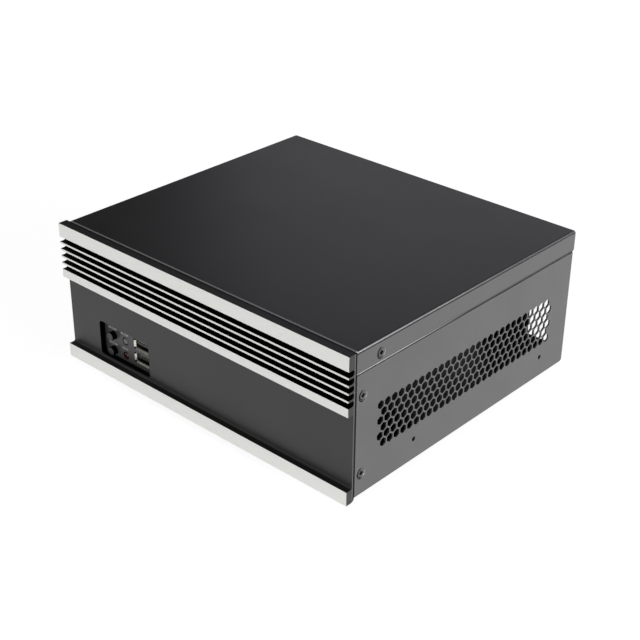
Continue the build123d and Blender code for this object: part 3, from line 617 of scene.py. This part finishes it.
def side_layers(tree):
    """Painted shade in the crease under the lid's lip, in the holes of the screws and in an arc round their
    heads, and a painted highlight on the holes' front-facing walls.
    """
    hole = bend_mask(tree, (("X", "Y"),))
    return [
        # Painted shade in the crease under the lid's lip
        (bend_mask(tree, (("X", "Z"),)), DARK_LINE),
        # Painted shade in the holes of the screws
        (hole, DEEP_BLACK),
        # Painted highlight on the front-facing walls of those holes
        (common(tree, hole, facing_front(tree)), HOLE_RIM),
        # Painted shaded arc round the front of the screw heads
        (round_screws(tree, "side_screws")[1], DEEP_BLACK),
    ]


def bracket_layers(tree):
    """Painted shade: the sloping walls of the dished bracket are painted deep black."""
    return [(facing_sideways(tree, SLOPING), DEEP_BLACK)]


def button_layers(tree):
    """Painted shade on the sides of a button, around its paler tip."""
    return [(above(tree, split(tree, "Normal")["Y"], TIP_FACE), DEEP_BLACK)]


def head_layers(node):
    """Painted shade on a screw: deep black below its head's face, over and around the cross recess and along
    its shank.
    """
    low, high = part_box(node)
    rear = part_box("side_panel_right")[1].y

    def layers(tree):
        inside = below(tree, split(tree, "Object", absolute=True)["X"], high.x - HEAD_FACE)
        if high.y > rear:
            inside = common(tree, inside, below(tree, split(tree, "Object")["Y"], high.y - HEAD_FACE))
        return [(mask, DEEP_BLACK) for mask in (inside, *round_screws(tree, node))]

    return layers


looks = {
    "panel_aluminium": panel_material(),
    "painted_steel": powder_coat("painted_steel", PAINT, LID_SHEEN),
    "plated_steel": powder_coat("inner_steel", INNER_PAINT, INNER_SHEEN),
    "screw_steel": metal("dark_zinc", INNER_ZINC, ZINC_SHEEN),
    "brass": metal("brass", BRASS, BRASS_SHEEN),
    "socket_metal": metal("tinned_shell", TIN, TIN_SHEEN, DRAWN_INWARDS),
    "black_plastic": moulding("black_plastic", PLASTIC, PLASTIC_SHEEN),
    "circuit_board": circuit_material(),
    "clear_lens": lens("clear_lens", CLEAR_LENS, CLEAR_PASSES),
    "red_lens": lens("red_lens", RED_LENS, RED_PASSES),
    "rubber": moulding("rubber", RUBBER, RUBBER_SHEEN),
}
side_coat = powder_coat("side_paint", PAINT, SIDE_SHEEN, layers=side_layers)
button_black = moulding("button_black", PLASTIC, PLASTIC_SHEEN, layers=button_layers)
own_looks = {
    "top_cover": powder_coat("lid_paint", PAINT, LID_SHEEN, drift=0.3, layers=lid_layers),
    "side_panel_left": side_coat,
    "side_panel_right": side_coat,
    "io_bracket": powder_coat("bracket_paint", PAINT, SIDE_SHEEN, layers=bracket_layers),
    # Painted shade: the front plate is near black so the gap behind the panel reads dark
    "front_plate": powder_coat("plate_paint", PLATE_PAINT, PLATE_SHEEN),
    "power_button": button_black,
    "reset_button": button_black,
}
for name in ("side_screws", "cover_screws"):
    own_looks[name] = metal(name + "_zinc", HEAD_ZINC, ZINC_SHEEN, layers=head_layers(name))
for part in frame["record"]["subparts"]:
    look = own_looks.get(part["node"], looks[part["material_slot"]])
    for object_slot in nodes[part["node"]].material_slots:
        object_slot.material = look


# Small marks and contacts

def flat_piece(name, outlines, rear, thickness, material):
    """Flat shapes facing the front, each a list of corners, made into one thin piece of the case."""
    verts = []
    faces = []
    for outline in outlines:
        start = len(verts)
        count = len(outline)
        verts += [(x, rear - thickness, z) for x, z in outline]
        verts += [(x, rear, z) for x, z in outline]
        faces.append(tuple(range(start, start + count)))
        faces.append(tuple(range(start + 2 * count - 1, start + count - 1, -1)))
        for i in range(count):
            j = (i + 1) % count
            faces.append((start + i, start + count + i, start + count + j, start + j))
    mesh = bpy.data.meshes.new(name)
    mesh.from_pydata(verts, [], faces)
    mesh.validate()
    mesh.update()
    mesh.materials.append(material)
    piece = bpy.data.objects.new(name, mesh)
    bpy.context.scene.collection.objects.link(piece)
    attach(piece, "case")


def bar(x, z, width, height):
    """Corners of a rectangle, anticlockwise."""
    return [
        (x - width / 2, z - height / 2),
        (x + width / 2, z - height / 2),
        (x + width / 2, z + height / 2),
        (x - width / 2, z + height / 2),
    ]


def ticks(x, z, offsets):
    """Short upright strokes on both sides of a symbol."""
    return [bar(x + side * offset, z, *TICK) for side in (-1, 1) for offset in offsets]


def arc_strip(x, z, radius, start, end, parts):
    """Short quads that follow an arc, angles in degrees."""
    strips = []
    inner, outer = radius - STROKE / 2, radius + STROKE / 2
    for i in range(parts):
        a = math.radians(start + (end - start) * i / parts)
        b = math.radians(start + (end - start) * (i + 1) / parts)
        strips.append([
            (x + inner * math.cos(a), z + inner * math.sin(a)),
            (x + outer * math.cos(a), z + outer * math.sin(a)),
            (x + outer * math.cos(b), z + outer * math.sin(b)),
            (x + inner * math.cos(b), z + inner * math.sin(b)),
        ])
    return strips


def ray(x, z, angle):
    """A stroke that points away from a symbol's middle, angle in degrees."""
    dx, dz = math.cos(math.radians(angle)), math.sin(math.radians(angle))
    nx, nz = -dz * RAY_HALF_WIDTH, dx * RAY_HALF_WIDTH
    near, far = RAY_REACH
    return [
        (x + dx * near - nx, z + dz * near - nz),
        (x + dx * far - nx, z + dz * far - nz),
        (x + dx * far + nx, z + dz * far + nz),
        (x + dx * near + nx, z + dz * near + nz),
    ]


def power_symbol(x, z):
    """A ring open at the top, with a stroke in the opening."""
    ring = arc_strip(x, z, RING_RADIUS, *POWER_RING, RING_PARTS)
    return [*ring, bar(x, z + POWER_STROKE_RISE, STROKE, POWER_STROKE_HEIGHT)]


def reset_symbol(x, z):
    """A ring that ends in an arrow."""
    ring = arc_strip(x, z, RING_RADIUS, *RESET_RING, RING_PARTS)
    return [*ring, [(x + dx, z + dz) for dx, dz in ARROW]]


def lamp_symbol(x, z):
    """A small ring with rays."""
    ring = arc_strip(x, z, BULB_RADIUS, 0, 360, BULB_PARTS)
    return [*ring, *(ray(x, z, i * 360 / RAY_COUNT) for i in range(RAY_COUNT))]


def drive_symbol(x, z):
    """Three level bars."""
    return [bar(x, z + level, *DRIVE_BAR) for level in DRIVE_LEVELS]


def middle_of(node):
    """The middle of a node's box."""
    low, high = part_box(node)
    return (low + high) / 2


button_x = middle_of("power_button").x - BUTTON_MARK_SHIFT
lamp_x = middle_of("power_led").x - LAMP_MARK_SHIFT
shapes = []
for node, x, rise, offsets, symbol in (
    ("power_button", button_x, BUTTON_MARK_RISE, BUTTON_TICKS, power_symbol),
    ("reset_button", button_x, BUTTON_MARK_RISE, BUTTON_TICKS, reset_symbol),
    ("power_led", lamp_x, LAMP_MARK_RISE, LAMP_TICKS, lamp_symbol),
    ("drive_led", lamp_x, LAMP_MARK_RISE, DRIVE_TICKS, drive_symbol),
):
    z = middle_of(node).z + rise
    shapes += ticks(x, z, offsets) + symbol(x, z)
mark_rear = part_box("io_bracket")[0].y + MARK_DEPTH
flat_piece("control_marks", shapes, mark_rear, MARK_THICKNESS, ink_material())

shell_low, shell_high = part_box("usb_shell")
socket_x = (shell_low.x + shell_high.x) / 2
contacts = []
for mouth_low in (shell_low.z + SHELL_MARGIN, shell_high.z - SHELL_MARGIN - MOUTH_HEIGHT):
    under_tongue = mouth_low + MOUTH_HEIGHT - TONGUE_ABOVE - TONGUE_THICKNESS
    contacts += [bar(socket_x + x, under_tongue - CONTACT[1] / 2, *CONTACT) for x in CONTACT_PLACES]
contact_rear = shell_low.y + CONTACT_START + CONTACT_LENGTH
contact_gold = metal("contact_gold", GOLD, GOLD_SHEEN)
flat_piece("usb_contacts", contacts, contact_rear, CONTACT_LENGTH, contact_gold)


# Floor, backdrop and lights

def floor_surface():
    """Pale paint that keeps its shadows, and glows where it is seen, mirrored or seen through a lens."""
    material = bpy.data.materials.new("studio_floor")
    material.use_nodes = True
    tree = material.node_tree
    tree.nodes.clear()
    distance = add_node(tree, "VectorMath", {0: tree.nodes.new("ShaderNodeTexCoord").outputs["Object"]})
    distance.operation = "LENGTH"
    paint = add_node(tree, "BsdfDiffuse", {"Color": FLOOR_PAINT}).outputs[0]
    glow = add_node(tree, "Emission", {
        "Color": WHITE,
        "Strength": spread(tree, distance.outputs["Value"], *FLOOR_GLOW, GLOW_GROWS),
    })
    both = add_node(tree, "AddShader", {0: paint, 1: glow.outputs[0]})
    rays = tree.nodes.new("ShaderNodeLightPath").outputs
    seen = calc(tree, "MAXIMUM", rays["Is Camera Ray"], rays["Is Glossy Ray"])
    seen = calc(tree, "MAXIMUM", seen, rays["Is Transmission Ray"])
    surface = add_node(tree, "MixShader", {"Fac": seen, 1: paint, 2: both.outputs[0]})
    add_node(tree, "OutputMaterial", {"Surface": surface.outputs[0]})
    return material


def area_light(name, place, size, watts, colour):
    """A soft rectangular lamp aimed at the case."""
    light = bpy.data.lights.new(name, "AREA")
    light.shape = "RECTANGLE"
    light.size, light.size_y = size
    light.energy = watts
    light.color = colour
    lamp = bpy.data.objects.new(name, light)
    bpy.context.scene.collection.objects.link(lamp)
    lamp.location = place
    lamp.rotation_euler = (Vector(LAMP_TARGET) - Vector(place)).to_track_quat("-Z", "Y").to_euler()


floor_mesh = bpy.data.meshes.new("studio_floor")
floor_corners = [
    (x * FLOOR_REACH, y * FLOOR_REACH, 0)
    for x, y in ((-1, -1), (1, -1), (1, 1), (-1, 1))
]
floor_mesh.from_pydata(floor_corners, [], [(0, 1, 2, 3)])
floor = bpy.data.objects.new("studio_floor", floor_mesh)
bpy.context.scene.collection.objects.link(floor)
floor_mesh.materials.append(floor_surface())

world = bpy.data.worlds.new("studio")
bpy.context.scene.world = world
world.use_nodes = True
world_tree = world.node_tree
world_tree.nodes.clear()
room = add_node(world_tree, "Background", {"Color": ROOM_TONE, "Strength": 1.0})
white = add_node(world_tree, "Background", {"Color": WHITE, "Strength": 1.0})
backdrop = add_node(world_tree, "MixShader", {
    "Fac": world_tree.nodes.new("ShaderNodeLightPath").outputs["Is Camera Ray"],
    1: room.outputs[0],
    2: white.outputs[0],
})
add_node(world_tree, "OutputWorld", {"Surface": backdrop.outputs[0]})

for name, lamp_values in LAMPS.items():
    area_light(name, *lamp_values)

camera_data = bpy.data.cameras.new("photo_camera")
camera_data.lens = CAMERA_LENS
camera_data.sensor_width = SENSOR_WIDTH
camera_data.clip_start = NEAREST_SEEN
camera = bpy.data.objects.new("photo_camera", camera_data)
bpy.context.scene.collection.objects.link(camera)
up = -CAMERA_DOWN.normalized()
right = (CAMERA_RIGHT - up * CAMERA_RIGHT.dot(up)).normalized()
back = right.cross(up)
turn = Matrix((right, up, back)).transposed()
camera.matrix_world = Matrix.Translation(CAMERA_PLACE) @ turn.to_4x4()
bpy.context.scene.camera = camera
bpy.context.scene.view_settings.view_transform = "Standard"
